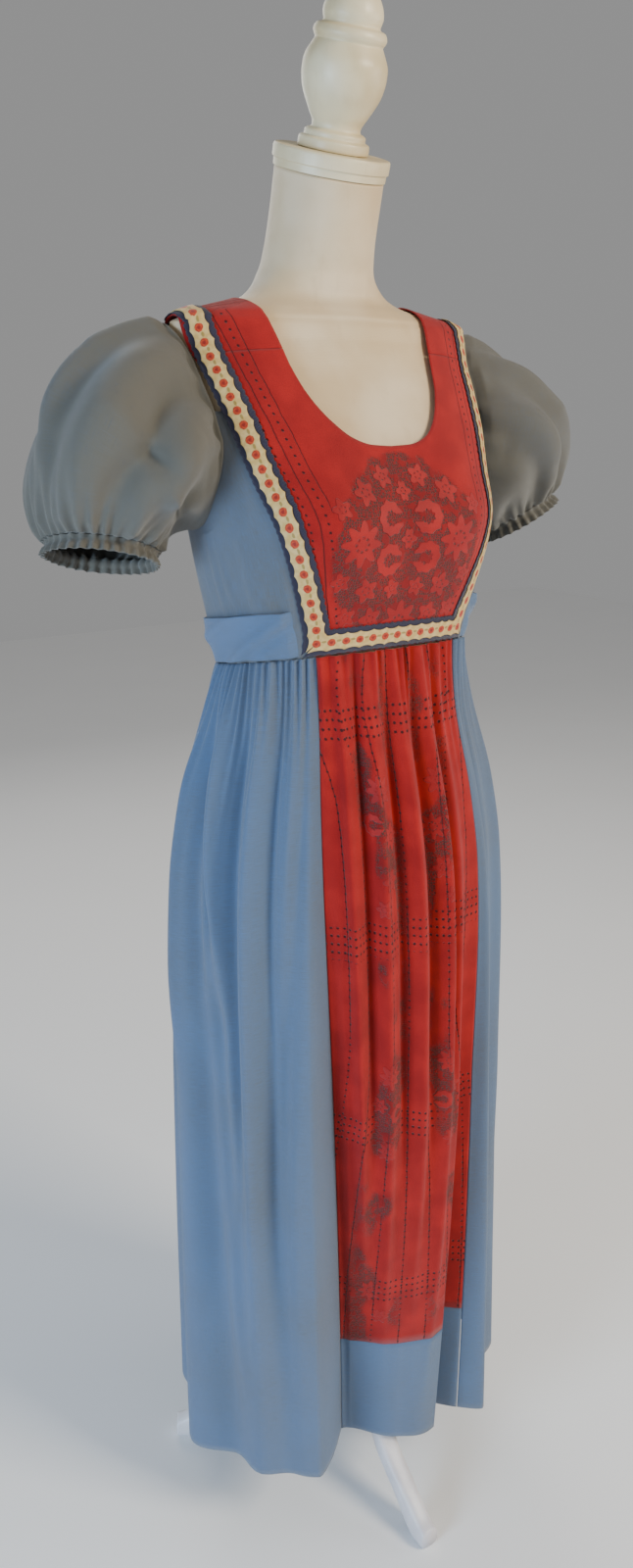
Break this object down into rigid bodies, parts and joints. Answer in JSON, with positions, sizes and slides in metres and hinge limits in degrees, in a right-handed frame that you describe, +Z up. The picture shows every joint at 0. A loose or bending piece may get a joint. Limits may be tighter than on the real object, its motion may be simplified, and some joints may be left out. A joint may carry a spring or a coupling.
{
  "type": "maxi dress on a dress form",
  "caption": "Empire-waist maxi dress with short puff sleeves, lace centre front, trimmed seams and back sash, worn by a limbless dress form on a three-legged stand.",
  "frame": {"origin": "middle of the bounding box, on the floor", "axes": "+Z up, -Y the front of the dress, +X towards the wearer's left"},
  "size_m": [0.6519, 0.4012, 1.7395],
  "materials": {
    "blue_cotton": "soft plain-weave chambray",
    "red_lace": "floral cotton lace over a lining",
    "navy_braid": "scalloped woven braid",
    "rosebud_ribbon": "woven ribbon with small flowers",
    "form_cover": "smooth satin jersey",
    "painted_wood": "satin cream paint"
  },
  "bodies": {
    "root": {"bodice_back": "blue_cotton", "braid_bottom": "navy_braid", "braid_left": "navy_braid", "braid_right": "navy_braid", "cuff_left": "blue_cotton", "cuff_right": "blue_cotton", "finial": "painted_wood", "form_torso": "form_cover", "front_yoke": "red_lace", "hub": "painted_wood", "leg_back_left": "painted_wood", "leg_back_right": "painted_wood", "leg_front": "painted_wood", "neck_cap": "painted_wood", "pole": "painted_wood", "ribbon_bottom": "rosebud_ribbon", "ribbon_left": "rosebud_ribbon", "ribbon_right": "rosebud_ribbon", "sash_knot": "blue_cotton", "sash_left": "blue_cotton", "sash_loop_left": "blue_cotton", "sash_loop_right": "blue_cotton", "sash_right": "blue_cotton", "sash_tail_left": "blue_cotton", "sash_tail_right": "blue_cotton", "side_front_left": "blue_cotton", "side_front_right": "blue_cotton", "skirt_back_left": "blue_cotton", "skirt_back_right": "blue_cotton", "skirt_front": "red_lace", "skirt_front_band": "blue_cotton", "skirt_side_left": "blue_cotton", "skirt_side_right": "blue_cotton", "sleeve_left": "blue_cotton", "sleeve_right": "blue_cotton", "strap_left": "red_lace", "strap_right": "red_lace"}
  },
  "joints": []
}
